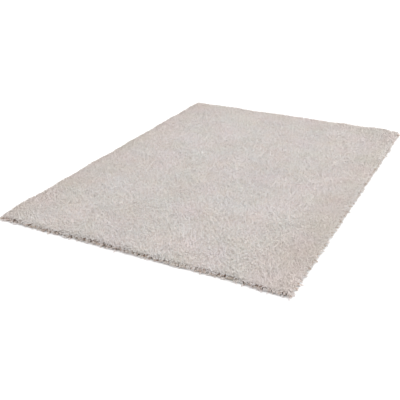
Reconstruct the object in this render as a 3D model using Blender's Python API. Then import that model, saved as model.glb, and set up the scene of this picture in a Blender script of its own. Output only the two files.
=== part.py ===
"""A rectangular shag rug lying flat on the floor, in metres with +Z up.

The rug is one solid: a low slab of deep pile with an uneven, lumpy top, a full rounded rim
and a flat underside, and a row of pile locks that droop from the rim and rest level on the
floor. The origin is on the floor under the rug's middle, +X runs along the short sides and
+Y along the long sides.
"""

import math
import random
from collections import namedtuple

import bmesh
import bpy
from mathutils import Vector, noise

# The woven ground that carries the pile
WIDTH = 1.200
LENGTH = 1.700
CORNER_RADIUS = 0.016

# The pile's top, a grid of lumps inside the rim
PILE_HEIGHT = 0.0300
LUMP_HEIGHT = 0.0070
LUMP_LENGTH = 0.110
SMALL_LUMP_HEIGHT = 0.0048
SMALL_LUMP_LENGTH = 0.045
LUMP_JITTER = 0.0026
CROWN_INSET = 0.030
CROWN_EDGE_DROP = 0.0008
LUMPS_ALONG_WIDTH = 28
LUMPS_ALONG_LENGTH = 40
LUMP_SHIFT = 0.20

# The rim, told by rings around the rug, from the pile's top down to the floor
RimRing = namedtuple("RimRing", "name out height")
RIM_RINGS = (
    RimRing("shoulder", -0.0090, 0.0278),
    RimRing("brow", 0.0020, 0.0195),
    RimRing("under", 0.0025, 0.0055),
    RimRing("foot", -0.0030, 0.0),
)
RIM_WAVE = 0.0016
RIM_WAVE_LENGTH = 0.160
RIM_JITTER = 0.0007
COLUMN_SHIFT = 0.11
COLUMNS_PER_LUMP = 2

# One lock of pile, told by cross sections from its root on the rim to its tip
LockStep = namedtuple("LockStep", "name reach gap thickness width")
LOCK_STEPS = (
    LockStep("neck", 0.0045, 0.0028, 0.0112, 0.0135),
    LockStep("knee", 0.0090, 0.0, 0.0075, 0.0095),
    LockStep("tip", 0.0132, 0.0, 0.0026, 0.0042),
)
SHORTEST_LOCK = 0.55
LONGEST_LOCK = 1.25
LOCK_THICKNESS_SPREAD = 0.16
LOCK_LEAN = 0.0045

# The flat underside, filled from the foot of the rim to a plain inner rectangle
UNDERSIDE_INSET = 0.090

SEED = 31
PILE_COLOUR = (0.610, 0.565, 0.535, 1.0)
PILE_ROUGHNESS = 0.95

Column = namedtuple("Column", "point outward")


def clear_scene():
    """Remove the objects that the scene starts with."""
    for item in list(bpy.data.objects):
        bpy.data.objects.remove(item, do_unlink=True)


def pile_height(x, y):
    """Give the height of the pile's lumpy top over one point of the floor."""
    broad = noise.noise(Vector((x, y, 0.0)) / LUMP_LENGTH)
    small = noise.noise(Vector((x, y, LENGTH)) / SMALL_LUMP_LENGTH)
    return PILE_HEIGHT + LUMP_HEIGHT * broad + SMALL_LUMP_HEIGHT * small


def rim_side(start, end, count, rng):
    """Set out one side's columns, from the middle of one rounded corner to the next.

    The ground's outline runs counter-clockwise, so its outward side is on the right.
    """
    along = (end - start).normalized()
    outward = Vector((along.y, -along.x))
    half_arc = CORNER_RADIUS * math.pi / 4
    straight = (end - start).length - 2 * CORNER_RADIUS
    total = straight + 2 * half_arc
    columns = []
    for index in range(count):
        shift = rng.uniform(-COLUMN_SHIFT, COLUMN_SHIFT) if index else 0.0
        way = (index + shift) * total / count
        if way < half_arc:
            turn = math.pi / 4 - way / CORNER_RADIUS
            facing = outward * math.cos(turn) - along * math.sin(turn)
            centre = start + (along - outward) * CORNER_RADIUS
            columns.append(Column(centre + facing * CORNER_RADIUS, facing))
        elif way > total - half_arc:
            turn = (way - total + half_arc) / CORNER_RADIUS
            facing = outward * math.cos(turn) + along * math.sin(turn)
            centre = end - (along + outward) * CORNER_RADIUS
            columns.append(Column(centre + facing * CORNER_RADIUS, facing))
        else:
            point = start + along * (CORNER_RADIUS + way - half_arc)
            columns.append(Column(point, outward))
    return columns


def rim_columns(rng):
    """Set out the columns of all four sides, one pile lock between each two."""
    half_x, half_y = WIDTH / 2, LENGTH / 2
    corners = [
        Vector((-half_x, -half_y)),
        Vector((half_x, -half_y)),
        Vector((half_x, half_y)),
        Vector((-half_x, half_y)),
    ]
    counts = (LUMPS_ALONG_WIDTH, LUMPS_ALONG_LENGTH) * 2
    columns = []
    for index, lumps in enumerate(counts):
        end = corners[(index + 1) % len(corners)]
        columns += rim_side(corners[index], end, lumps * COLUMNS_PER_LUMP, rng)
    return columns


def add_ring(bm, ring, columns, rng):
    """Add one ring of the rim's points, wavy in plan and, off the floor, in height."""
    points = []
    for column in columns:
        place = column.point.to_3d()
        wave = RIM_WAVE * noise.noise(place / RIM_WAVE_LENGTH)
        out = ring.out + wave + rng.uniform(-RIM_JITTER, RIM_JITTER)
        flat = column.point + column.outward * out
        height = ring.height
        if height:
            height *= pile_height(*column.point) / PILE_HEIGHT
        points.append(bm.verts.new((flat.x, flat.y, height)))
    return points


def add_crown(bm, rng):
    """Add the lumpy top and return its outline, counter-clockwise from its first corner."""
    half_x = WIDTH / 2 - CROWN_INSET
    half_y = LENGTH / 2 - CROWN_INSET
    step_x = 2 * half_x / LUMPS_ALONG_WIDTH
    step_y = 2 * half_y / LUMPS_ALONG_LENGTH
    grid = []
    for row in range(LUMPS_ALONG_LENGTH + 1):
        line = []
        for place in range(LUMPS_ALONG_WIDTH + 1):
            x = place * step_x - half_x
            y = row * step_y - half_y
            inside = 0 < row < LUMPS_ALONG_LENGTH and 0 < place < LUMPS_ALONG_WIDTH
            drop = 0.0 if inside else CROWN_EDGE_DROP
            if inside:
                x += rng.uniform(-LUMP_SHIFT, LUMP_SHIFT) * step_x
                y += rng.uniform(-LUMP_SHIFT, LUMP_SHIFT) * step_y
            height = pile_height(x, y) + rng.uniform(-LUMP_JITTER, LUMP_JITTER) - drop
            line.append(bm.verts.new((x, y, height)))
        grid.append(line)
    for low, high in zip(grid, grid[1:]):
        for place in range(LUMPS_ALONG_WIDTH):
            bm.faces.new((low[place], low[place + 1], high[place + 1], high[place]))
    right = [line[-1] for line in grid[1:-1]]
    left = [line[0] for line in grid[-2:0:-1]]
    return grid[0] + right + grid[-1][::-1] + left


def bridge(bm, upper, lower):
    """Join two loops of equal length with quads that face outward."""
    count = len(upper)
    for index in range(count):
        after = (index + 1) % count
        bm.faces.new((upper[index], lower[index], lower[after], upper[after]))


def join_crown_to_rim(bm, crown, shoulder):
    """Join the crown's outline to the shoulder ring, which has two edges to each of its own."""
    for index, corner in enumerate(crown):
        first = index * COLUMNS_PER_LUMP
        middle = shoulder[first + 1]
        last = shoulder[(first + COLUMNS_PER_LUMP) % len(shoulder)]
        after = crown[(index + 1) % len(crown)]
        bm.faces.new((corner, shoulder[first], middle))
        bm.faces.new((corner, middle, after))
        bm.faces.new((after, middle, last))


def add_lock(bm, root, outward, rng):
    """Grow one four-sided lock from its root on the rim, out and down to the floor.

    The root's corners run upper left, lower left, lower right and upper right as seen from
    outside. From the knee on, the lock's underside lies on the floor.
    """
    along = Vector((-outward.y, outward.x))
    middle = sum((corner.co for corner in root), Vector()) / len(root)
    length = rng.uniform(SHORTEST_LOCK, LONGEST_LOCK)
    girth = 1 + rng.uniform(-LOCK_THICKNESS_SPREAD, LOCK_THICKNESS_SPREAD)
    lean = rng.uniform(-LOCK_LEAN, LOCK_LEAN)
    last_reach = LOCK_STEPS[-1].reach
    loop = root
    for step in LOCK_STEPS:
        centre = middle.to_2d() + outward * step.reach * length
        centre += along * lean * (step.reach / last_reach) ** 2
        half = along * step.width * girth / 2
        left = centre - half
        right = centre + half
        top = step.gap + step.thickness * girth
        section = [
            bm.verts.new((left.x, left.y, top)),
            bm.verts.new((left.x, left.y, step.gap)),
            bm.verts.new((right.x, right.y, step.gap)),
            bm.verts.new((right.x, right.y, top)),
        ]
        bridge(bm, section, loop)
        loop = section
    bm.faces.new(loop)


def add_locks(bm, brow, under, columns, rng):
    """Grow a lock between each two columns of the rim, their roots side by side."""
    count = len(columns)
    for index in range(count):
        after = (index + 1) % count
        outward = (columns[index].outward + columns[after].outward).normalized()
        root = [brow[index], under[index], under[after], brow[after]]
        add_lock(bm, root, outward, rng)


def add_underside(bm, foot):
    """Close the flat underside with fans from the rim's foot to an inner rectangle."""
    half_x = WIDTH / 2 - UNDERSIDE_INSET
    half_y = LENGTH / 2 - UNDERSIDE_INSET
    inner = [
        bm.verts.new((-half_x, -half_y, 0.0)),
        bm.verts.new((half_x, -half_y, 0.0)),
        bm.verts.new((half_x, half_y, 0.0)),
        bm.verts.new((-half_x, half_y, 0.0)),
    ]
    first = 0
    for index, lumps in enumerate((LUMPS_ALONG_WIDTH, LUMPS_ALONG_LENGTH) * 2):
        count = lumps * COLUMNS_PER_LUMP
        near, far = inner[index], inner[(index + 1) % len(inner)]
        for place in range(count):
            here = foot[first + place]
            after = foot[(first + place + 1) % len(foot)]
            if place == count // 2:
                bm.faces.new((here, near, far))
            bm.faces.new((here, near if place < count // 2 else far, after))
        first += count
    bm.faces.new(inner[::-1])


def centre_on_origin(bm):
    """Shift the rug in plan until its overall size is centred on the origin."""
    for axis in (0, 1):
        places = [vert.co[axis] for vert in bm.verts]
        middle = (min(places) + max(places)) / 2
        for vert in bm.verts:
            vert.co[axis] -= middle


def pile_material():
    """Make the material of the rug's pale, matt yarn."""
    material = bpy.data.materials.new("shag_pile")
    material.use_nodes = True
    shader = material.node_tree.nodes["Principled BSDF"]
    shader.inputs["Base Color"].default_value = PILE_COLOUR
    shader.inputs["Roughness"].default_value = PILE_ROUGHNESS
    shader.inputs["Metallic"].default_value = 0.0
    material.diffuse_color = PILE_COLOUR
    return material


def build_rug():
    """Build the rug as one closed solid with its own material."""
    rng = random.Random(SEED)
    bm = bmesh.new()
    crown = add_crown(bm, rng)
    columns = rim_columns(rng)
    shoulder, brow, under, foot = (add_ring(bm, ring, columns, rng) for ring in RIM_RINGS)
    join_crown_to_rim(bm, crown, shoulder)
    bridge(bm, shoulder, brow)
    bridge(bm, under, foot)
    add_locks(bm, brow, under, columns, rng)
    add_underside(bm, foot)
    centre_on_origin(bm)
    mesh = bpy.data.meshes.new("shag_rug")
    bm.to_mesh(mesh)
    bm.free()
    mesh.materials.append(pile_material())
    mesh.shade_smooth()
    rug = bpy.data.objects.new("shag_rug", mesh)
    bpy.context.collection.objects.link(rug)
    return rug


clear_scene()
build_rug()
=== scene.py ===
"""Looks of a rectangular shag rug that lies flat on a pale floor.

Everything is in metres in the rug's own frame: +X along the short sides, +Y along the long
sides and +Z up out of the pile. The rug is made as the real one is: a woven backing, the
dense lower part of the pile on it, and some sixty thousand cut yarn ends over that, which
lean and curl across the top and droop to the floor around the rim.
"""

import logging
import math
from abc import ABC, abstractmethod
from dataclasses import dataclass, field
from enum import Enum

import bpy
import numpy as np
from bpy.types import ID, Material, Mesh, Node, NodeSocket, NodeTree, Object, bpy_prop_collection
from mathutils import Matrix, Vector
from mathutils.bvhtree import BVHTree
from numpy.random import Generator, default_rng


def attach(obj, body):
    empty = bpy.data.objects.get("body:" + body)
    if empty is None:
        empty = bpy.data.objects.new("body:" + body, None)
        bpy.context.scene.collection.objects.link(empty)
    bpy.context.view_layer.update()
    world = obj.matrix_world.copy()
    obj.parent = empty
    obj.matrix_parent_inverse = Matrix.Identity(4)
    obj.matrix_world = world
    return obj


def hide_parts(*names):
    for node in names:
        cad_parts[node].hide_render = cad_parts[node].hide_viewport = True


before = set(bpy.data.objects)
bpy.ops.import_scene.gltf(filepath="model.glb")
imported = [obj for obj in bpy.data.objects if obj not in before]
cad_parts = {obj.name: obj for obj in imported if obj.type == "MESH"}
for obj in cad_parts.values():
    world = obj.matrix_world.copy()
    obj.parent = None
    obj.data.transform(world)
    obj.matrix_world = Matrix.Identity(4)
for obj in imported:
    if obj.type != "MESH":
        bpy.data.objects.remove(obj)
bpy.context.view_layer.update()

LOG = logging.getLogger("shag_rug")
CAD_NODE = "shag_rug"
BODY = "root"
BAKE_MAP = "OFBake"  # the map that gives each yarn a small cell of its own
PLY_MAP = "ply"

RUG_WIDTH = 1.200
RUG_LENGTH = 1.700
RUG_HALF = np.array([RUG_WIDTH, RUG_LENGTH]) / 2
PILE_HEIGHT = 0.030
CORNER_BLEND = 0.012

Colour = tuple[float, float, float]
Span = tuple[float, float]
Relief = tuple[NodeSocket, float]

WHITE: Colour = (1.0, 1.0, 1.0)


class NodeSheet:
    """Adds nodes to one tree and joins their sockets."""

    NOISE_MIDDLE = (0.5, 0.5, 0.5)

    def __init__(self, tree: NodeTree) -> None:
        """Keep the tree that gets the nodes."""
        self.tree = tree

    def feed(self, socket: NodeSocket, value: object) -> None:
        """Join a socket to another one, or set its value.

        Args:
            socket: the input to feed.
            value: an output socket, or a plain value.
        """
        if isinstance(value, NodeSocket):
            self.tree.links.new(value, socket)
        else:
            socket.default_value = value

    def add(
        self, kind: str, inputs: dict[str, object] | None = None, **settings: object
    ) -> Node:
        """Add one node.

        Args:
            kind: the node's type name in Blender.
            inputs: sockets or plain values for its inputs, by name.
            settings: the node's own properties.

        Returns:
            The new node.
        """
        node = self.tree.nodes.new(kind)
        for name, value in settings.items():
            setattr(node, name, value)
        for name, value in (inputs or {}).items():
            self.feed(node.inputs[name], value)
        return node

    def result(self, kind: str, *values: object, **settings: object) -> NodeSocket:
        """Add one node that works something out from its inputs in their order.

        Args:
            kind: the node's type name in Blender.
            values: sockets or plain values for the inputs that its settings leave in use.
            settings: the node's own properties.

        Returns:
            Its first output in use.
        """
        node = self.add(kind, **settings)
        used = [socket for socket in node.inputs if socket.enabled]
        for socket, value in zip(used, values):
            self.feed(socket, value)
        return next(socket for socket in node.outputs if socket.enabled)

    def math(self, operation: str, *values: object) -> NodeSocket:
        """Add a Math node."""
        return self.result("ShaderNodeMath", *values, operation=operation)

    def vector(self, operation: str, *values: object) -> NodeSocket:
        """Add a Vector Math node; for SCALE the last value is the factor."""
        return self.result("ShaderNodeVectorMath", *values, operation=operation)

    def blend(self, kind: str, share: object, *ends: object) -> NodeSocket:
        """Add a Mix node between two FLOAT, VECTOR or RGBA ends, the second at share 1."""
        return self.result("ShaderNodeMix", share, *ends, data_type=kind)

    def share(self, value: object, low: float, high: float) -> NodeSocket:
        """Add a Map Range node that says how far a value is from low to high, from 0 to 1."""
        inputs = {"Value": value, "From Min": low, "From Max": high}
        return self.add("ShaderNodeMapRange", inputs).outputs["Result"]

    def noise(
        self, place: object, size: object, detail: float = 0.0, **settings: object
    ) -> Node:
        """Add a Noise Texture whose patches have a real size in metres."""
        inputs = {"Vector": place, "Scale": self.math("DIVIDE", 1.0, size), "Detail": detail}
        return self.add("ShaderNodeTexNoise", inputs, **settings)

    def swing(self, wave: NodeSocket) -> NodeSocket:
        """Centre a noise on zero."""
        return self.vector("SUBTRACT", wave, self.NOISE_MIDDLE)

    def place(self) -> NodeSocket:
        """Read the Object coordinates."""
        return self.add("ShaderNodeTexCoord").outputs["Object"]

    def axes(self, vector: NodeSocket) -> bpy_prop_collection:
        """Split a vector into its X, Y and Z."""
        return self.add("ShaderNodeSeparateXYZ", {"Vector": vector}).outputs


def named_sockets(tree: NodeTree, way: str, kinds: dict[str, str]) -> dict[str, str]:
    """Give a node tree its inputs or outputs.

    Args:
        tree: the tree.
        way: INPUT or OUTPUT.
        kinds: each socket's name and its kind, such as Float.

    Returns:
        Each socket's name and its identifier.
    """
    made = {}
    for name, kind in kinds.items():
        item = tree.interface.new_socket(name, in_out=way, socket_type=f"NodeSocket{kind}")
        made[name] = item.identifier
    return made


def placed(name: str, data: ID) -> Object:
    """Put a new object in the scene.

    Args:
        name: its name.
        data: its mesh, light or camera.

    Returns:
        The object.
    """
    item = bpy.data.objects.new(name, data)
    bpy.context.scene.collection.objects.link(item)
    return item


def meshed(name: str, points: list, faces: list, material: Material) -> Object:
    """Put a new mesh object in the scene.

    Args:
        name: its name.
        points: its vertices' places.
        faces: its faces, as the numbers of their vertices.
        material: its material.

    Returns:
        The object.
    """
    mesh = bpy.data.meshes.new(name)
    mesh.from_pydata(points, [], faces)
    mesh.materials.append(material)
    return placed(name, mesh)


class ShaderGroups:
    """The shader node groups that more than one finish uses.

    Each layer of the tone group has its own detail. The layer of hue swings at right angles to
    the weights of red, green and blue in luminance, so that it changes no brightness.
    """

    LUMINANCE = (0.21, 0.72, 0.07)
    TONE_LAYERS = {"Patch": 1.0, "Hue": 3.0, "Grain": 0.0}
    TONE_INPUTS = tuple(f"{kind} {part}" for kind in TONE_LAYERS for part in ("Size", "Depth"))
    FIBRE_DETAIL = 2.0

    def __init__(self) -> None:
        """Build the groups."""
        self.tone = self._tone()
        self.fibre = self._fibre()

    @staticmethod
    def _start(
        name: str, inputs: dict[str, str], outputs: dict[str, str]
    ) -> tuple[NodeSheet, bpy_prop_collection, bpy_prop_collection]:
        """Start a group.

        Args:
            name: its name.
            inputs: its inputs' names and kinds.
            outputs: its outputs' names and kinds.

        Returns:
            Its node sheet, what it is given, and what it puts out.
        """
        group = bpy.data.node_groups.new(name, "ShaderNodeTree")
        named_sockets(group, "INPUT", inputs)
        named_sockets(group, "OUTPUT", outputs)
        sheet = NodeSheet(group)
        return sheet, sheet.add("NodeGroupInput").outputs, sheet.add("NodeGroupOutput").inputs

    def _tone(self) -> NodeTree:
        """Build the group that varies a colour in broad patches, in hue and in fine grain.

        Returns:
            The group.
        """
        colour = {"Colour": "Color"}
        sizes = dict.fromkeys(self.TONE_INPUTS, "Float")
        sheet, given, out = self._start("pile_tone", colour | sizes, colour)
        place = sheet.place()
        tone = WHITE
        for kind, detail in self.TONE_LAYERS.items():
            wave = sheet.noise(place, given[f"{kind} Size"], detail)
            swing = sheet.swing(wave.outputs["Color" if kind == "Hue" else "Fac"])
            if kind == "Hue":
                swing = sheet.vector("CROSS_PRODUCT", swing, self.LUMINANCE)
            tone = sheet.vector("ADD", tone, sheet.vector("SCALE", swing, given[f"{kind} Depth"]))
        sheet.feed(out["Colour"], sheet.vector("MULTIPLY", given["Colour"], tone))
        return sheet.tree

    def _fibre(self) -> NodeTree:
        """Build the group that gives the height of matted fibre.

        Returns:
            The group.
        """
        size, height = {"Fibre Size": "Float"}, {"Height": "Float"}
        sheet, given, out = self._start("matted_fibre", size, height)
        wave = sheet.noise(sheet.place(), given["Fibre Size"], self.FIBRE_DETAIL)
        sheet.feed(out["Height"], wave.outputs["Fac"])
        return sheet.tree


@dataclass(frozen=True)
class Finish(ABC):
    """What every textile finish of the rug has."""

    name: str
    roughness: float = 0.92
    specular: float = 0.25
    sheen: float = 0.0
    patch_size: float = 0.30
    patch_depth: float = 0.07
    hue_size: float = 0.14
    hue_depth: float = 0.12
    grain_size: float = 0.004
    grain_depth: float = 0.10
    fibre_size: float = 0.0016
    fibre_depth: float = 0.0006

    @abstractmethod
    def look(self, sheet: NodeSheet) -> tuple[NodeSocket, list[Relief]]:
        """Work out the finish's own colour and relief.

        Args:
            sheet: the material's node sheet.

        Returns:
            The colour before it varies, and the heights under the fibre with their depths.
        """

    def material(self, groups: ShaderGroups) -> Material:
        """Make the material: its own look, varied in tone and covered in matted fibre.

        Args:
            groups: the shared node groups.

        Returns:
            The material.
        """
        material = bpy.data.materials.new(self.name)
        material.use_nodes = True
        shader = material.node_tree.nodes["Principled BSDF"].inputs
        shader["Roughness"].default_value = self.roughness
        shader["Specular IOR Level"].default_value = self.specular
        shader["Sheen Weight"].default_value = self.sheen
        sheet = NodeSheet(material.node_tree)
        colour, reliefs = self.look(sheet)
        labels = ShaderGroups.TONE_INPUTS
        inputs = {label: getattr(self, label.lower().replace(" ", "_")) for label in labels}
        inputs["Colour"] = colour
        tone = sheet.add("ShaderNodeGroup", inputs, node_tree=groups.tone)
        sheet.feed(shader["Base Color"], tone.outputs["Colour"])
        inputs = {"Fibre Size": self.fibre_size}
        fibre = sheet.add("ShaderNodeGroup", inputs, node_tree=groups.fibre)
        normal = {}
        for height, depth in (*reliefs, (fibre.outputs["Height"], self.fibre_depth)):
            inputs = {"Distance": depth, "Height": height, **normal}
            normal = {"Normal": sheet.add("ShaderNodeBump", inputs).outputs["Normal"]}
        sheet.feed(shader["Normal"], normal["Normal"])
        return material


@dataclass(frozen=True)
class YarnFinish(Finish):
    """Heat-set cut yarn of two twisted plies in a few close shades, with painted shade at its
    root.
    """

    shades: tuple[tuple[float, Colour], ...] = (
        (0.00, (0.770, 0.702, 0.660)),
        (0.15, (0.808, 0.755, 0.724)),
        (0.50, (0.835, 0.800, 0.782)),
        (1.00, (0.856, 0.827, 0.812)),
    )
    # The root shade is painted shade: it tints the yarn at its root and fades out by root_reach
    # along it.
    root_shade: Colour = (0.96, 0.95, 0.94)
    root_reach: float = 0.8
    plies: float = 2.0
    turns: float = 2.5
    ply_depth: float = 0.0004
    groove_shade: float = 0.97

    def look(self, sheet: NodeSheet) -> tuple[NodeSocket, list[Relief]]:
        """Tint each yarn, paint shade towards its root and in its ply grooves, and twist its
        plies.

        Args:
            sheet: the material's node sheet.

        Returns:
            The yarn's colour, and the height of its plies with its depth.
        """
        tint, along = (
            sheet.add("ShaderNodeAttribute", attribute_name=name).outputs["Fac"]
            for name in ("tint", "along")
        )
        ramp = sheet.add("ShaderNodeValToRGB", {"Fac": tint})
        stops = ramp.color_ramp.elements
        for place, _ in self.shades[1:-1]:
            stops.new(place)
        for stop, (place, colour) in zip(stops, self.shades):
            stop.position = place
            stop.color = (*colour, 1.0)
        # Painted shade that darkens each yarn towards its root.
        height = sheet.share(along, 0.0, self.root_reach)
        depth = sheet.blend("VECTOR", height, self.root_shade, WHITE)
        colour = sheet.vector("MULTIPLY", ramp.outputs["Color"], depth)
        ply = self.ply_height(sheet)
        # The grooves between the plies get painted shade: the colour falls to groove_shade there.
        groove = sheet.math("MULTIPLY_ADD", ply, 1.0 - self.groove_shade, self.groove_shade)
        return sheet.vector("SCALE", colour, groove), [(ply, self.ply_depth)]

    def ply_height(self, sheet: NodeSheet) -> NodeSocket:
        """Work out the rounded height of the twisted plies from the yarn's own map.

        Args:
            sheet: the material's node sheet.

        Returns:
            The height, from 0 in a groove to 1 on a ply.
        """
        place = sheet.axes(sheet.add("ShaderNodeUVMap", uv_map=PLY_MAP).outputs["UV"])
        turn = sheet.math("ADD", sheet.math("MULTIPLY", place["Y"], self.turns), place["X"])
        wave = sheet.math("SINE", sheet.math("MULTIPLY", turn, math.pi * self.plies))
        return sheet.math("ABSOLUTE", wave)


@dataclass(frozen=True)
class ShadeFinish(Finish):
    """The pile's shaded lower part: one fibre colour with painted shade that darkens it towards
    the floor.
    """

    upper: Colour = (0.750, 0.692, 0.655)
    lower: Colour = (0.16, 0.115, 0.085)
    levels: Span = (0.006, 0.0135)

    def look(self, sheet: NodeSheet) -> tuple[NodeSocket, list[Relief]]:
        """Paint shade on the fibre's colour, darker towards the floor."""
        height = sheet.share(sheet.axes(sheet.place())["Z"], *self.levels)
        return sheet.blend("RGBA", height, (*self.lower, 1.0), (*self.upper, 1.0)), []


@dataclass(frozen=True)
class WovenFinish(Finish):
    """The backing's open weave of flat tapes, seen from below."""

    tape: Colour = (0.52, 0.47, 0.40)
    gap: Colour = (0.30, 0.27, 0.23)
    gap_edge: float = 0.35
    crossing: float = 0.35
    pitch: float = 0.005
    weave_depth: float = 0.0006

    def look(self, sheet: NodeSheet) -> tuple[NodeSocket, list[Relief]]:
        """Cross the tapes over and under, with dark gaps between them.

        Args:
            sheet: the material's node sheet.

        Returns:
            The weave's colour, and its height with its depth.
        """
        place = sheet.axes(sheet.place())
        turns = [sheet.math("MULTIPLY", place[axis], math.pi / self.pitch) for axis in "XY"]
        waves = [sheet.math("SINE", turn) for turn in turns]
        ribs = sheet.math("MAXIMUM", *(sheet.math("ABSOLUTE", wave) for wave in waves))
        over = sheet.math("MULTIPLY", *waves)
        height = sheet.math("MULTIPLY_ADD", over, self.crossing, ribs)
        share = sheet.share(height, self.gap_edge, 1.0)
        colour = sheet.blend("RGBA", share, (*self.gap, 1.0), (*self.tape, 1.0))
        return colour, [(height, self.weave_depth)]


@dataclass(frozen=True)
class YarnShape:
    """Sizes that the yarn tree gives to all yarns of one piece."""

    points: int
    sides: int
    thickness: float
    tip_share: float
    curl: float
    curl_size: float
    seed: int


class YarnTree:
    """A Geometry Nodes tree that grows a bent, curled and tapered yarn from each root.

    TINT_SPREAD sets the curls of yarns of different tint apart, TAPER_POWER says how late a
    yarn tapers, and THICKEST is more than any yarn's girth.
    """

    KINDS = {
        "Roots": "Geometry",
        "Points": "Int",
        "Sides": "Int",
        "Thickness": "Float",
        "Tip Share": "Float",
        "Curl": "Float",
        "Curl Size": "Float",
        "Seed": "Int",
        "Yarn Material": "Material",
    }
    TINT_SPREAD = 60.0
    TAPER_POWER = 1.6
    THICKEST = 1.24

    def __init__(self) -> None:
        """Build the tree and keep its inputs' identifiers."""
        self.tree = bpy.data.node_groups.new("shag_yarns", "GeometryNodeTree")
        self.inputs = named_sockets(self.tree, "INPUT", self.KINDS)
        named_sockets(self.tree, "OUTPUT", {"Yarns": "Geometry"})
        self.sheet = NodeSheet(self.tree)
        self.given = self.sheet.add("NodeGroupInput").outputs
        yarns = self._spun(self._bent(self._lines()))
        self.sheet.add("NodeGroupOutput", {"Yarns": yarns})

    def _read(self, name: str, kind: str = "FLOAT") -> NodeSocket:
        """Read a named attribute of the roots, a FLOAT or a FLOAT_VECTOR."""
        return self.sheet.result("GeometryNodeInputNamedAttribute", name, data_type=kind)

    def _lines(self) -> NodeSocket:
        """Put a line of a few points on each root, and say on each point how far along it is.

        Returns:
            The lines, as realized curves.
        """
        sheet, given = self.sheet, self.given
        line = sheet.result("GeometryNodeCurvePrimitiveLine")
        cut = sheet.add("GeometryNodeResampleCurve", {"Curve": line, "Count": given["Points"]})
        inputs = {"Points": given["Roots"], "Instance": cut.outputs["Curve"]}
        copies = sheet.add("GeometryNodeInstanceOnPoints", inputs).outputs["Instances"]
        real = sheet.result("GeometryNodeRealizeInstances", copies)
        along = sheet.add("GeometryNodeSplineParameter").outputs["Factor"]
        inputs = {"Geometry": real, "Name": "along", "Value": along}
        kinds = {"data_type": "FLOAT", "domain": "POINT"}
        return sheet.add("GeometryNodeStoreNamedAttribute", inputs, **kinds).outputs["Geometry"]

    def _bent(self, lines: NodeSocket) -> NodeSocket:
        """Bend each line from its root over its knee to its tip, and curl it above the floor.

        Args:
            lines: the straight lines.

        Returns:
            The bent lines.
        """
        sheet, given = self.sheet, self.given
        along = self._read("along")
        root, knee, tip = (self._read(name, "FLOAT_VECTOR") for name in ("root", "knee", "tip"))
        low = sheet.blend("VECTOR", along, root, knee)
        high = sheet.blend("VECTOR", along, knee, tip)
        path = sheet.blend("VECTOR", along, low, high)
        noise = sheet.noise(path, given["Curl Size"], noise_dimensions="4D")
        turn = sheet.math("MULTIPLY", self._read("tint"), self.TINT_SPREAD)
        sheet.feed(noise.inputs["W"], sheet.math("ADD", turn, given["Seed"]))
        reach = sheet.math("MULTIPLY", sheet.math("MULTIPLY", given["Curl"], 2.0), along)
        curl = sheet.vector("SCALE", sheet.swing(noise.outputs["Color"]), reach)
        path = sheet.vector("ADD", path, curl)
        lowest = sheet.math("MULTIPLY", given["Thickness"], self.THICKEST / 2)
        floor = sheet.result("ShaderNodeCombineXYZ", -RUG_LENGTH, -RUG_LENGTH, lowest)
        inputs = {"Geometry": lines, "Position": sheet.vector("MAXIMUM", path, floor)}
        return sheet.add("GeometryNodeSetPosition", inputs).outputs["Geometry"]

    def _spun(self, lines: NodeSocket) -> NodeSocket:
        """Give each bent line its thickness, and end in real geometry with its material.

        Args:
            lines: the bent lines.

        Returns:
            The yarns.
        """
        sheet, given = self.sheet, self.given
        share = sheet.math("POWER", self._read("along"), self.TAPER_POWER)
        taper = sheet.blend("FLOAT", share, 1.0, given["Tip Share"])
        half = sheet.math("MULTIPLY", given["Thickness"], 0.5)
        half = sheet.math("MULTIPLY", half, self._read("girth"))
        inputs = {"Resolution": given["Sides"], "Radius": 1.0}
        ring = sheet.add("GeometryNodeCurvePrimitiveCircle", inputs).outputs["Curve"]
        inputs = {"Curve": lines, "Profile Curve": ring, "Fill Caps": True}
        inputs["Scale"] = sheet.math("MULTIPLY", half, taper)
        tube = sheet.add("GeometryNodeCurveToMesh", inputs).outputs["Mesh"]
        real = sheet.result(
            "GeometryNodeRealizeInstances", sheet.result("GeometryNodeSetShadeSmooth", tube)
        )
        inputs = {"Geometry": real, "Material": given["Yarn Material"]}
        return sheet.add("GeometryNodeSetMaterial", inputs).outputs["Geometry"]

    def grow(
        self, name: str, plan: "YarnPlan", shape: YarnShape, material: Material
    ) -> Object:
        """Grow one piece of pile.

        Args:
            name: the piece's name.
            plan: where its yarns stand and how they lean.
            shape: the yarns' sizes.
            material: their material.

        Returns:
            The piece, a plain mesh.
        """
        piece = placed(name, plan.as_mesh(name))
        modifier = piece.modifiers.new("yarns", "NODES")
        modifier.node_group = self.tree
        for label, value in vars(shape).items():
            modifier[self.inputs[label.replace("_", " ").title()]] = value
        modifier[self.inputs["Yarn Material"]] = material
        graph = bpy.context.evaluated_depsgraph_get()
        mesh = bpy.data.meshes.new_from_object(
            piece.evaluated_get(graph), preserve_all_data_layers=True, depsgraph=graph
        )
        piece.modifiers.remove(modifier)
        roots = piece.data
        piece.data = mesh
        bpy.data.meshes.remove(roots)
        mesh.name = name
        for attribute in ("root", "knee", "tip", "girth"):
            mesh.attributes.remove(mesh.attributes[attribute])
        YarnMaps(mesh, len(plan.root)).lay_out()
        return piece


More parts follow.
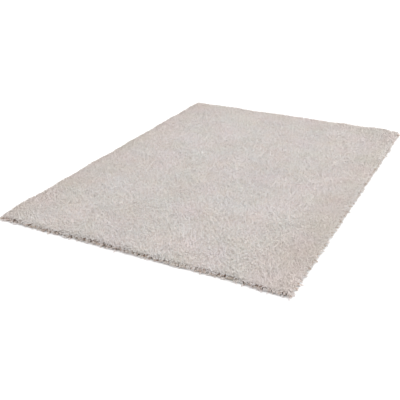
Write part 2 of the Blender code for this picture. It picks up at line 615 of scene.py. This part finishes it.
@dataclass
class YarnMaps:
    """The maps of a mesh of yarns, which all have the same faces in the same order.

    One map runs around and along each yarn, for its plies. The other gives each yarn a small
    cell of its own, with its sides next to each other and its two end caps below and above.
    """

    mesh: Mesh
    yarns: int
    side_strip: tuple[Span, Span] = ((0.08, 0.92), (0.20, 0.80))
    cap_centres: tuple[Span, Span] = ((0.5, 0.10), (0.5, 0.90))
    cap_size: Span = (0.30, 0.07)

    @staticmethod
    def read(items: bpy_prop_collection, name: str, kind: type) -> np.ndarray:
        """Read one property of all items.

        Args:
            items: the items.
            name: the property's name.
            kind: the type of its values.

        Returns:
            The values.
        """
        values = np.empty(len(items), kind)
        items.foreach_get(name, values)
        return values

    def lay_out(self) -> None:
        """Add both maps to the mesh."""
        mesh, yarns = self.mesh, self.yarns
        along = self.read(mesh.attributes["along"].data, "value", np.float32)
        first = self.read(mesh.loops, "vertex_index", np.int32)[: len(mesh.loops) // yarns]
        totals = self.read(mesh.polygons, "loop_total", np.int32)[: len(mesh.polygons) // yarns]
        ply, cell = self.one_yarn(first, along[first], totals)
        self.store(PLY_MAP, np.tile(ply, (yarns, 1)))
        across = math.ceil(math.sqrt(yarns))
        index = np.arange(yarns)
        place = np.stack([index % across, index // across], 1)
        self.store(BAKE_MAP, (place[:, None, :] + cell[None, :, :]) / across)

    def one_yarn(
        self, corners: np.ndarray, height: np.ndarray, totals: np.ndarray
    ) -> tuple[np.ndarray, np.ndarray]:
        """Lay out one yarn.

        Args:
            corners: the vertex of each corner.
            height: how far along the yarn each corner is.
            totals: how many corners each face has.

        Returns:
            Each corner's place in the map of the plies, and in the yarn's cell.
        """
        sides = len(np.unique(corners[height == 0]))
        ply = np.column_stack([np.zeros(len(corners)), height])
        cell = np.empty((len(corners), 2))
        low, high = np.array(self.side_strip).T
        ends = np.cumsum(totals)
        for start, end in zip(ends - totals, ends):
            part = slice(start, end)
            if np.ptp(height[part]) > 0:
                side = corners[part] % sides
                wrap = (np.ptp(side) > 1) & (side == 0)
                ply[part, 0] = (side + sides * wrap) / sides
                cell[part] = low + (high - low) * ply[part]
            else:
                turn = np.arange(end - start) * 2 * np.pi / (end - start)
                round_points = np.column_stack([np.cos(turn), np.sin(turn)])
                centre = self.cap_centres[int(height[start] > 0.5)]
                cell[part] = centre + self.cap_size * round_points
        return ply, cell

    def store(self, name: str, points: np.ndarray) -> None:
        """Add one map, a place for each of the mesh's corners."""
        layer = self.mesh.uv_layers.new(name=name)
        layer.data.foreach_set("uv", points.astype(np.float32).ravel())


@dataclass(frozen=True)
class EdgeStray:
    """How the front edge strays out and the back edge up, fading away into the rug.

    Each stray is a list of places along the edge, from left to right, and amounts there.
    """

    fade: float = 0.12
    front_out: tuple[Span, ...] = (
        (-0.46, 0.0005), (-0.30, 0.0018), (-0.15, -0.0010), (0.00, 0.0000),
        (0.13, 0.0022), (0.26, -0.0026), (0.39, -0.0046), (0.50, 0.0042),
    )
    back_up: tuple[Span, ...] = (
        (-0.47, 0.0024), (-0.32, 0.0004), (-0.17, -0.0007),
        (-0.03, -0.0026), (0.11, -0.0048), (0.24, 0.0000),
    )

    def moved(self, points: np.ndarray) -> np.ndarray:
        """Move points near the two edges along with them.

        Args:
            points: rows of x, y and z.

        Returns:
            The rows moved.
        """
        x, y, z = points.T
        share = np.clip(1 - (RUG_HALF[1] - np.abs(y)) / self.fade, 0, 1)
        out = np.interp(x, *np.transpose(self.front_out)) * share * (y < 0)
        up = np.interp(x, *np.transpose(self.back_up)) * share * (y > 0)
        return np.column_stack([x, y - out, z * (1 + up / PILE_HEIGHT)])


@dataclass
class YarnPlan:
    """Where yarns are rooted and how they lean, one row of each array for each yarn."""

    root: np.ndarray
    knee: np.ndarray
    tip: np.ndarray
    girth: np.ndarray
    tint: np.ndarray

    def part(self, chosen: np.ndarray) -> "YarnPlan":
        """Take the yarns for which chosen is True."""
        return YarnPlan(**{name: rows[chosen] for name, rows in vars(self).items()})

    def strayed(self, edges: EdgeStray) -> "YarnPlan":
        """Move the yarns along with the rug's edges."""
        bends = (edges.moved(rows) for rows in (self.root, self.knee, self.tip))
        return YarnPlan(*bends, self.girth, self.tint)

    def as_mesh(self, name: str) -> Mesh:
        """Make a mesh of the roots that carries the plan in its attributes.

        Args:
            name: the mesh's name.

        Returns:
            The mesh, vertices alone.
        """
        mesh = bpy.data.meshes.new(name + "_roots")
        mesh.vertices.add(len(self.root))
        mesh.vertices.foreach_set("co", self.root.astype(np.float32).ravel())
        for label, rows in vars(self).items():
            kind, slot = ("FLOAT_VECTOR", "vector") if rows.ndim == 2 else ("FLOAT", "value")
            layer = mesh.attributes.new(label, kind, "POINT")
            layer.data.foreach_set(slot, rows.astype(np.float32).ravel())
        return mesh


@dataclass
class SoftField:
    """A smooth random field over the floor, from -1 to 1, one value for each channel."""

    size: float
    channels: int
    rng: Generator
    margin: float = 0.1
    spare_knots: int = 3
    knots: np.ndarray = field(init=False)

    def __post_init__(self) -> None:
        """Draw the field's knots."""
        counts = (2 * (RUG_HALF + self.margin) / self.size).astype(int) + self.spare_knots
        self.knots = self.rng.uniform(-1, 1, (*counts, self.channels))

    def at(self, places: np.ndarray) -> np.ndarray:
        """Read the field.

        Args:
            places: points as rows of x and y.

        Returns:
            One row of channels for each point.
        """
        steps = (places[:, :2] + RUG_HALF + self.margin) / self.size
        last = np.array(self.knots.shape[:2]) - 2
        cell = np.clip(np.floor(steps).astype(int), 0, last)
        share = np.clip(steps - cell, 0, 1)
        return blend_of_cells(self.knots, cell, share * share * (3 - 2 * share))


def blend_of_cells(values: np.ndarray, cell: np.ndarray, share: np.ndarray) -> np.ndarray:
    """Blend the four values at the corners of each point's cell.

    Args:
        values: the values on a grid, with one channel or more.
        cell: the lower corner of each point's cell.
        share: how far across and along its cell each point is.

    Returns:
        One row of channels for each point.
    """
    x, y = cell.T
    across, along = share.T[:, :, None]
    near = values[x, y] * (1 - across) + values[x + 1, y] * across
    far = values[x, y + 1] * (1 - across) + values[x + 1, y + 1] * across
    return near * (1 - along) + far * along


class PileTop:
    """Height of the pile's lumpy top, read from the rug's solid and smoothed."""

    STEP = 0.015
    EDGE = 0.012
    SMOOTHINGS = 2
    ABOVE = 1.0

    def __init__(self, node: Object) -> None:
        """Sound the solid's top on a grid.

        Args:
            node: the rug's solid.
        """
        mesh = node.data
        points = [vertex.co.copy() for vertex in mesh.vertices]
        solid = BVHTree.FromPolygons(points, [tuple(face.vertices) for face in mesh.polygons])
        self.half = RUG_HALF - self.EDGE
        self.counts = np.ceil(2 * self.half / self.STEP).astype(int)
        xs, ys = (np.linspace(-h, h, n + 1) for h, n in zip(self.half, self.counts))
        down = Vector((0, 0, -1))
        rows = [[solid.ray_cast(Vector((x, y, self.ABOVE)), down)[0].z for y in ys] for x in xs]
        heights = np.array(rows)
        for _ in range(self.SMOOTHINGS):
            wide = np.pad(heights, 1, mode="edge")
            heights = np.lib.stride_tricks.sliding_window_view(wide, (3, 3)).mean((2, 3))
        self.heights = heights[:, :, None]

    def at(self, places: np.ndarray) -> np.ndarray:
        """Read the height over some points; outside the top, the nearest height holds.

        Args:
            places: points as rows of x and y.

        Returns:
            One height for each point.
        """
        inside = np.clip(places[:, :2], -self.half, self.half) + self.half
        steps = inside / (2 * self.half / self.counts)
        cell = np.minimum(np.floor(steps).astype(int), self.counts - 1)
        return blend_of_cells(self.heights, cell, steps - cell)[:, 0]


def discs(rng: Generator, count: int, low: float, high: float) -> np.ndarray:
    """Draw flat vectors of random direction.

    Args:
        rng: the random generator.
        count: how many to draw.
        low: the shortest length.
        high: the longest length.

    Returns:
        Rows of x and y.
    """
    turn = rng.uniform(0, 2 * np.pi, count)
    length = rng.uniform(low, high, count)
    return np.stack([np.cos(turn), np.sin(turn)], 1) * length[:, None]


def outward_at(places: np.ndarray) -> np.ndarray:
    """Find which way is out of the rug at points near its edge.

    Args:
        places: points as rows of x and y.

    Returns:
        Each point's outward direction: 1 towards its nearest side, and a part towards the
        other side that fades over CORNER_BLEND, so that the corners stay square.
    """
    sides = RUG_HALF - np.abs(places)
    nearest = sides.min(1, keepdims=True)
    return np.exp((nearest - sides) / CORNER_BLEND) * np.sign(places)


@dataclass(frozen=True)
class Brow:
    """How the pile's top bends over the rim along an ellipse, from level to its last angle."""

    inset: float = 0.014
    reach: float = 0.020
    fall: float = 0.0170
    last: float = 1.50

    @property
    def pace(self) -> float:
        """Length along the top for each radian of the bend."""
        return (self.reach + self.fall) / 2

    @property
    def start(self) -> np.ndarray:
        """Where the bend starts, from the rug's middle."""
        return RUG_HALF - self.inset


@dataclass
class PilePart(ABC):
    """A part of the pile, grown in a few pieces."""

    names: tuple[str, ...]
    shape: YarnShape
    girth: Span
    pieces: list[Object] = field(default_factory=list)

    @abstractmethod
    def plan(self, top: PileTop, rng: Generator) -> YarnPlan:
        """Set out all its yarns.

        Args:
            top: the pile's top.
            rng: the random generator.

        Returns:
            The plan of the yarns.
        """

    @abstractmethod
    def piece_at(self, roots: np.ndarray) -> np.ndarray:
        """Give the number of the piece that each root belongs to."""

    def build(self, tree: YarnTree, plan: YarnPlan, material: Material) -> None:
        """Grow the yarns, piece by piece.

        Args:
            tree: the tree that grows yarns.
            plan: the plan of all yarns.
            material: the yarn's material.
        """
        numbers = self.piece_at(plan.root[:, :2])
        for number, name in enumerate(self.names):
            part = plan.part(numbers == number)
            self.pieces.append(tree.grow(name, part, self.shape, material))


@dataclass
class PileField(PilePart):
    """The pile's top: yarn ends that lean and curl over the whole rug and around its rim.

    The tint of its yarns falls off towards the borders, and in one dim area by the right side
    near the front: painted shade. The border and dim values say how wide, how strong and where.
    """

    names: tuple[str, ...] = (
        "pile_front_left",
        "pile_front_right",
        "pile_back_left",
        "pile_back_right",
    )
    shape: YarnShape = YarnShape(
        points=3, sides=3, thickness=0.0036, tip_share=0.72, curl=0.0060, curl_size=0.007, seed=5
    )
    girth: Span = (0.82, 1.18)
    pitch: float = 0.0063
    jitter: float = 0.42
    root_depth: float = 0.0155
    knee_rise: float = 0.019
    knee_share: float = 0.25
    drift: float = 0.0035
    drift_size: float = 0.11
    lean: Span = (0.005, 0.0115)
    sag: float = 0.002
    tip_sink: Span = (0.0012, 0.0026)
    # The border and dim values set painted shade on the yarns' tint.
    border_width: float = 0.38
    border_left_front: Span = (0.95, 0.40)
    border_right_back: Span = (0.88, 0.95)
    dim_place: Span = (0.62, -0.60)
    dim_size: Span = (0.16, 0.40)
    dim_tint: float = 0.90
    brow: Brow = Brow()

    def spots(self, rng: Generator) -> np.ndarray:
        """Set out uneven rows over the pile's top as if the bend at its rim were rolled flat.

        Args:
            rng: the random generator.

        Returns:
            Rows of x and y.
        """
        half = self.brow.start + self.brow.pace * self.brow.last
        counts = np.round(2 * half / self.pitch).astype(int) + 1
        step = 2 * half / (counts - 1)
        grid = np.stack(np.meshgrid(*(np.arange(c) for c in counts), indexing="ij"), -1)
        places = grid.reshape(-1, 2) * step - half
        return places + rng.uniform(-self.jitter, self.jitter, places.shape) * step

    def plan(self, top: PileTop, rng: Generator) -> YarnPlan:
        """Work out each yarn's root, knee and tip.

        Args:
            top: the pile's top.
            rng: the random generator.

        Returns:
            The plan of all yarns.
        """
        brow = self.brow
        spots = self.spots(rng)
        count = len(spots)
        sign = np.sign(spots)
        turn = np.clip(np.abs(spots) - brow.start, 0, None) / brow.pace
        sines, cosines = np.sin(turn), np.cos(turn)
        places = np.clip(spots, -brow.start, brow.start) + sign * sines * brow.reach
        height = top.at(places) - brow.fall * (1 - cosines).max(1)
        normal = np.column_stack([sign * sines, cosines.prod(1)])
        normal /= np.linalg.norm(normal, axis=1, keepdims=True)
        drift = SoftField(self.drift_size, channels=2, rng=rng).at(places) * self.drift
        lean = discs(rng, count, *self.lean) + drift + sign * sines * self.sag
        lean = np.column_stack([lean * cosines, -(lean * sign * sines).sum(1)])
        lean[:, 2] += top.at(places + lean[:, :2]) - top.at(places)
        foot = np.column_stack([places, height])
        root = foot - normal * self.root_depth
        knee = root + normal * self.knee_rise + lean * self.knee_share
        tip = foot + lean - normal * rng.uniform(*self.tip_sink, (count, 1))
        # Painted shade: the tint falls off towards the borders, less on yarns that bend over the
        # rim, and in the dim area.
        sides = RUG_HALF - np.abs(places)
        border = np.clip(1 - sides / self.border_width, 0, 1) ** 2 * cosines
        border *= np.where(places > 0, self.border_right_back, self.border_left_front)
        tint = rng.uniform(0, 1, count) * (1 - border).prod(1)
        away = (((places - self.dim_place) / self.dim_size) ** 2).sum(1)
        tint *= 1 - self.dim_tint * np.exp(-away)
        return YarnPlan(root, knee, tip, rng.uniform(*self.girth, count), tint)

    def piece_at(self, roots: np.ndarray) -> np.ndarray:
        """Split the yarns by quarters of the rug."""
        return (roots > 0) @ (1, 2)


@dataclass(frozen=True)
class Lie:
    """Where a tuft's knees and tips lie: out from the ground's edge, up, and how far apart.

    A tuft takes the same share of the way from the first to the second value of all four
    spans. The yarns of a tuft draw their tints from a span of their own.
    """

    knee_out: Span
    knee_up: Span
    tip_out: Span
    tip_up: Span
    knee_spread: float
    tip_spread: float
    tint: Span

    def drawn(self, rng: Generator, count: int) -> np.ndarray:
        """Draw a row for each tuft: knee out, knee up, tip out and tip up."""
        low, high = np.array([self.knee_out, self.knee_up, self.tip_out, self.tip_up]).T
        return low + (high - low) * rng.uniform(0, 1, (count, 1))


class Lay(Enum):
    """How a tuft of the rim lies."""

    HANGING = Lie(
        knee_out=(0.001, 0.004),
        knee_up=(0.013, 0.009),
        tip_out=(0.004, 0.009),
        tip_up=(0.012, 0.006),
        knee_spread=0.002,
        tip_spread=0.003,
        # Hanging tufts draw the darkest tints of the rim yarn: painted shade of the recess under
        # the brow.
        tint=(0.0, 0.7),
    )
    FALLING = Lie(
        knee_out=(0.001, 0.006),
        knee_up=(0.010, 0.006),
        tip_out=(0.004, 0.013),
        tip_up=(0.008, 0.002),
        knee_spread=0.001,
        tip_spread=0.0015,
        tint=(0.1, 1.0),
    )
    LYING = Lie(
        knee_out=(0.004, 0.012),
        knee_up=(0.007, 0.005),
        tip_out=(0.009, 0.018),
        tip_up=(0.005, 0.001),
        knee_spread=0.001,
        tip_spread=0.0015,
        tint=(0.2, 1.0),
    )


@dataclass(frozen=True)
class RimRow:
    """One row of tufts along the edge: how they lie, where they are rooted, how many."""

    lay: Lay
    inset: float
    height: float
    pitch: float
    yarns: int


@dataclass
class PileRim(PilePart):
    """The rim: tufts rooted along the edge that hang, fall or lie on the floor."""

    names: tuple[str, ...] = ("pile_rim_left_front", "pile_rim_right_back")
    shape: YarnShape = YarnShape(
        points=4, sides=3, thickness=0.0038, tip_share=0.62, curl=0.0040, curl_size=0.008, seed=9
    )
    girth: Span = (0.8, 1.2)
    root_spread: float = 0.0035
    sway: float = 0.0090
    sway_size: float = 0.010
    knee_sway: float = 0.4
    reach: float = 0.006
    reach_size: float = 0.016
    tuft_tint: float = 0.85
    rows: tuple[RimRow, ...] = (
        RimRow(Lay.LYING, inset=0.0010, height=0.0025, pitch=0.0240, yarns=4),
        RimRow(Lay.FALLING, inset=0.0015, height=0.0035, pitch=0.0220, yarns=5),
        RimRow(Lay.FALLING, inset=0.0025, height=0.0050, pitch=0.0240, yarns=5),
        RimRow(Lay.HANGING, inset=0.0030, height=0.0070, pitch=0.0130, yarns=4),
        RimRow(Lay.HANGING, inset=0.0045, height=0.0090, pitch=0.0130, yarns=4),
    )

    @staticmethod
    def tufts(pitch: float, rng: Generator) -> np.ndarray:
        """Space the tufts of one row round the ground's edge, each somewhere in its own step.

        Args:
            pitch: how far apart the tufts are.
            rng: the random generator.

        Returns:
            The tufts' places on the edge, rows of x and y.
        """
        points = []
        for axis, other in ((0, 1), (1, 0)):
            for side in (-1, 1):
                count = int(2 * RUG_HALF[axis] / pitch)
                steps = (np.arange(count) + rng.uniform(0, 1, count)) / count
                line = np.empty((count, 2))
                line[:, axis] = (2 * steps - 1) * RUG_HALF[axis]
                line[:, other] = side * RUG_HALF[other]
                points.append(line)
        return np.concatenate(points)

    def row_plan(self, row: RimRow, top: PileTop, rng: Generator) -> list[np.ndarray]:
        """Set out the yarns of one row of tufts.

        Args:
            row: the row.
            top: the pile's top, whose height the tufts share.
            rng: the random generator.

        Returns:
            The yarns' roots, knees, tips, girths and tints.
        """
        points = self.tufts(row.pitch, rng)
        outward = outward_at(points)
        along = np.stack([-outward[:, 1], outward[:, 0]], 1)
        lie = row.lay.value
        drawn = lie.drawn(rng, len(points))
        # Knee up and tip up follow the pile's height.
        drawn[:, 1::2] *= (top.at(points) / PILE_HEIGHT)[:, None]
        sway = SoftField(self.sway_size, channels=1, rng=rng).at(points) * self.sway
        reach = SoftField(self.reach_size, channels=1, rng=rng).at(points) * self.reach
        yarn = np.repeat(np.arange(len(points)), row.yarns)
        spots = points[yarn] - outward[yarn] * row.inset
        spots += rng.uniform(-1, 1, spots.shape) * self.root_spread
        spots = np.clip(spots, -RUG_HALF, RUG_HALF)
        rows = [np.column_stack([spots, np.full(len(yarn), row.height)])]
        bends = (
            (drawn[:, :2], self.knee_sway, lie.knee_spread),
            (drawn[:, 2:], 1.0, lie.tip_spread),
        )
        for bend, share, spread in bends:
            flat = points + outward * (bend[:, :1] + reach * share) + along * sway * share
            place = np.column_stack([flat, bend[:, 1]])[yarn]
            rows.append(place + rng.uniform(-1, 1, place.shape) * spread)
        rows.append(rng.uniform(*self.girth, len(yarn)))
        share = self.tuft_tint * rng.uniform(0, 1, len(points))[yarn]
        share += (1 - self.tuft_tint) * rng.uniform(0, 1, len(yarn))
        rows.append(lie.tint[0] + (lie.tint[1] - lie.tint[0]) * share)
        return rows

    def plan(self, top: PileTop, rng: Generator) -> YarnPlan:
        """Set out the yarns of all rows."""
        parts = [self.row_plan(row, top, rng) for row in self.rows]
        return YarnPlan(*(np.concatenate(rows) for rows in zip(*parts)))

    def piece_at(self, roots: np.ndarray) -> np.ndarray:
        """Split the yarns along a diagonal of the rug."""
        return (roots / RUG_HALF).sum(1) >= 0


@dataclass
class PileGround:
    """The dense lower part of the pile, which shows only as shade between the yarns."""

    cell: float = 0.018
    jitter: float = 0.3
    sink: float = 0.0105
    roughness: float = 0.0022
    shoulder: float = 0.016
    rings: tuple[Span, ...] = ((0.0095, 0.0150), (0.0055, 0.0090), (0.0040, 0.0026))
    piece: Object | None = None

    def build(
        self, top: PileTop, edges: EdgeStray, rng: Generator, material: Material
    ) -> None:
        """Build the ground as one closed, lumpy slab, with a wall of rings down to the floor.

        Args:
            top: the pile's top.
            edges: how the rug's edges stray.
            rng: the random generator.
            material: its material.
        """
        counts = np.round(2 * RUG_HALF / self.cell).astype(int) + 1
        axes = [np.linspace(-1, 1, count) for count in counts]
        unit = np.stack(np.meshgrid(*axes, indexing="ij"), -1).reshape(-1, 2)
        flat = unit * (RUG_HALF - self.shoulder)
        inner = np.abs(unit).max(1, keepdims=True) < 1
        flat += rng.uniform(-1, 1, flat.shape) * self.jitter * self.cell * inner
        height = top.at(flat) - self.sink + rng.uniform(-1, 1, len(flat)) * self.roughness
        index = np.arange(len(unit)).reshape(counts)
        cells = [index[:-1, :-1], index[1:, :-1], index[1:, 1:], index[:-1, 1:]]
        quads = [np.stack(cells, -1).reshape(-1, 4)]
        loop = np.concatenate([index[:-1, 0], index[-1, :-1], index[:0:-1, -1], index[0, :0:-1]])
        points = [np.column_stack([flat, height])]
        upper = loop
        for number, (inset, level) in enumerate(self.rings):
            ring = unit[loop] * (RUG_HALF - inset)
            points.append(np.column_stack([ring, np.full(len(loop), level)]))
            lower = len(unit) + number * len(loop) + np.arange(len(loop))
            quads.append(np.stack([upper, lower, np.roll(lower, -1), np.roll(upper, -1)], -1))
            upper = lower
        faces = np.concatenate(quads).tolist() + [upper[::-1].tolist()]
        rows = edges.moved(np.concatenate(points)).tolist()
        self.piece = meshed("pile_ground", rows, faces, material)
        self.piece.data.shade_smooth()


@dataclass
class Backing:
    """The woven backing that the pile is tufted into, flat on the floor."""

    thickness: float = 0.0021
    clearance: float = 0.0003
    trim: float = 0.001
    corner: float = 0.012
    corner_steps: int = 5
    piece: Object | None = None

    def build(self, material: Material) -> None:
        """Build the backing as one thin closed sheet.

        Args:
            material: its material.
        """
        half = RUG_HALF - self.trim - self.corner
        outline = []
        for turn, signs in enumerate(((1, 1), (-1, 1), (-1, -1), (1, -1))):
            for step in range(self.corner_steps + 1):
                angle = (turn + step / self.corner_steps) * math.pi / 2
                ray = np.array([math.cos(angle), math.sin(angle)]) * self.corner
                outline.append(half * signs + ray)
        count = len(outline)
        levels = (self.clearance, self.clearance + self.thickness)
        points = [(x, y, z) for z in levels for x, y in outline]
        faces = [tuple(range(count))[::-1], tuple(range(count, 2 * count))]
        for index in range(count):
            after = (index + 1) % count
            faces.append((index, after, after + count, index + count))
        self.piece = meshed("woven_backing", points, faces, material)


@dataclass
class Rug:
    """The whole rug, built from its backing up."""

    seed: int = 5
    yarn: YarnFinish = YarnFinish("shag_yarn", sheen=0.15)
    rim_yarn: YarnFinish = YarnFinish(
        "rim_yarn",
        sheen=0.15,
        # The rim yarn's darkest, brownest shades and its deeper root shade are painted shade of
        # the recess under the rim's brow.
        shades=(
            (0.00, (0.470, 0.348, 0.272)),
            (0.35, (0.712, 0.631, 0.580)),
            (0.60, (0.820, 0.772, 0.748)),
            (1.00, (0.860, 0.822, 0.806)),
        ),
        root_shade=(0.52, 0.38, 0.30),
        root_reach=0.70,
    )
    shade: ShadeFinish = ShadeFinish("pile_shade")
    weave: WovenFinish = WovenFinish("backing_weave")
    edges: EdgeStray = EdgeStray()
    backing: Backing = field(default_factory=Backing)
    ground: PileGround = field(default_factory=PileGround)
    top_pile: PileField = field(default_factory=PileField)
    rim: PileRim = field(default_factory=PileRim)

    def build(self, node: Object) -> None:
        """Build every piece.

        Args:
            node: the rug's solid, whose top the pile follows.
        """
        rng = default_rng(self.seed)
        groups = ShaderGroups()
        top = PileTop(node)
        tree = YarnTree()
        self.backing.build(self.weave.material(groups))
        self.ground.build(top, self.edges, rng, self.shade.material(groups))
        for part, finish in ((self.top_pile, self.yarn), (self.rim, self.rim_yarn)):
            plan = part.plan(top, rng).strayed(self.edges)
            part.build(tree, plan, finish.material(groups))

    def place(self) -> list[Object]:
        """Returns:
            The pieces, from the backing up.
        """
        pile = [self.ground.piece, *self.top_pile.pieces, *self.rim.pieces]
        for piece in pile:
            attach(piece, BODY)
            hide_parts(CAD_NODE)
        backing = self.backing.piece
        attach(backing, BODY)
        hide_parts(CAD_NODE)
        return [backing, *pile]


@dataclass(frozen=True)
class Studio:
    """A plain pale floor, an even sky, and a broad soft key light over the rug's right side.

    The key light's azimuth is measured from +X towards +Y.
    """

    floor_size: float = 60.0
    floor_colour: Colour = (0.90, 0.90, 0.90)
    sky: float = 1.225
    key_power: float = 124.0
    key_size: float = 5.6
    key_distance: float = 6.0
    key_height: float = 45.0
    key_azimuth: float = 10.0

    def build(self) -> None:
        """Build the floor, the sky and the key light."""
        self._floor()
        self._sky()
        self._key()

    def _floor(self) -> None:
        """Build the floor."""
        material = bpy.data.materials.new("floor")
        material.use_nodes = True
        shader = material.node_tree.nodes["Principled BSDF"].inputs
        shader["Base Color"].default_value = (*self.floor_colour, 1.0)
        shader["Roughness"].default_value = 1.0
        shader["Specular IOR Level"].default_value = 0.0
        side = self.floor_size / 2
        corners = [(-side, -side, 0), (side, -side, 0), (side, side, 0), (-side, side, 0)]
        meshed("floor", corners, [(0, 1, 2, 3)], material)

    def _sky(self) -> None:
        """Light the scene evenly, and show plain white behind it."""
        world = bpy.data.worlds.new("studio")
        world.use_nodes = True
        bpy.context.scene.world = world
        sheet = NodeSheet(world.node_tree)
        back = world.node_tree.nodes["Background"]
        back.inputs["Color"].default_value = (*WHITE, 1.0)
        seen = sheet.add("ShaderNodeLightPath").outputs["Is Camera Ray"]
        sheet.feed(back.inputs["Strength"], sheet.blend("FLOAT", seen, self.sky, 1.0))

    def _key(self) -> None:
        """Add the soft key light, a broad disc that faces the rug."""
        light = bpy.data.lights.new("key", "AREA")
        light.shape = "DISK"
        light.size = self.key_size
        light.energy = self.key_power
        lamp = placed("key", light)
        lift, turn = math.radians(self.key_height), math.radians(self.key_azimuth)
        flat = math.cos(lift)
        back = Vector((flat * math.cos(turn), flat * math.sin(turn), math.sin(lift)))
        lamp.location = back * self.key_distance
        lamp.rotation_euler = back.to_track_quat("Z", "Y").to_euler()


@dataclass(frozen=True)
class PhotoCamera:
    """The camera at the photograph's angle, distance and lens.

    Its azimuth is measured from the front, -Y, towards +X.
    """

    azimuth: float = 26.98
    elevation: float = 25.51
    roll: float = -0.11
    distance: float = 2.6788
    target: tuple[float, float] = (0.0189, -0.3396)
    lens: float = 57.03
    sensor: float = 36.0
    view_end: float = 200.0

    def build(self) -> None:
        """Build the camera and make it the scene's."""
        turn, lift, roll = map(math.radians, (self.azimuth, self.elevation, self.roll))
        flat = math.cos(lift)
        back = Vector((math.sin(turn) * flat, -math.cos(turn) * flat, math.sin(lift)))
        right = Vector((math.cos(turn), math.sin(turn), 0.0))
        up = back.cross(right)
        right, up = (
            right * math.cos(roll) + up * math.sin(roll),
            up * math.cos(roll) - right * math.sin(roll),
        )
        data = bpy.data.cameras.new("photo_camera")
        data.sensor_width = self.sensor
        data.lens = self.lens
        data.clip_end = self.view_end
        camera = placed("photo_camera", data)
        axes = Matrix((right, up, back)).transposed().to_4x4()
        place = Vector((*self.target, 0.0)) + back * self.distance
        camera.matrix_world = Matrix.Translation(place) @ axes
        bpy.context.scene.camera = camera


def main() -> None:
    """Build the camera, the stage and the rug, and report each piece."""
    logging.basicConfig(level=logging.INFO, format="%(message)s")
    view = bpy.context.scene.view_settings
    view.view_transform = "Standard"
    view.look = "None"
    PhotoCamera().build()
    Studio().build()
    rug = Rug()
    rug.build(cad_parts[CAD_NODE])
    for piece in rug.place():
        piece.data.calc_loop_triangles()
        LOG.info("%s: %d triangles", piece.name, len(piece.data.loop_triangles))


if __name__ == "__main__":
    main()
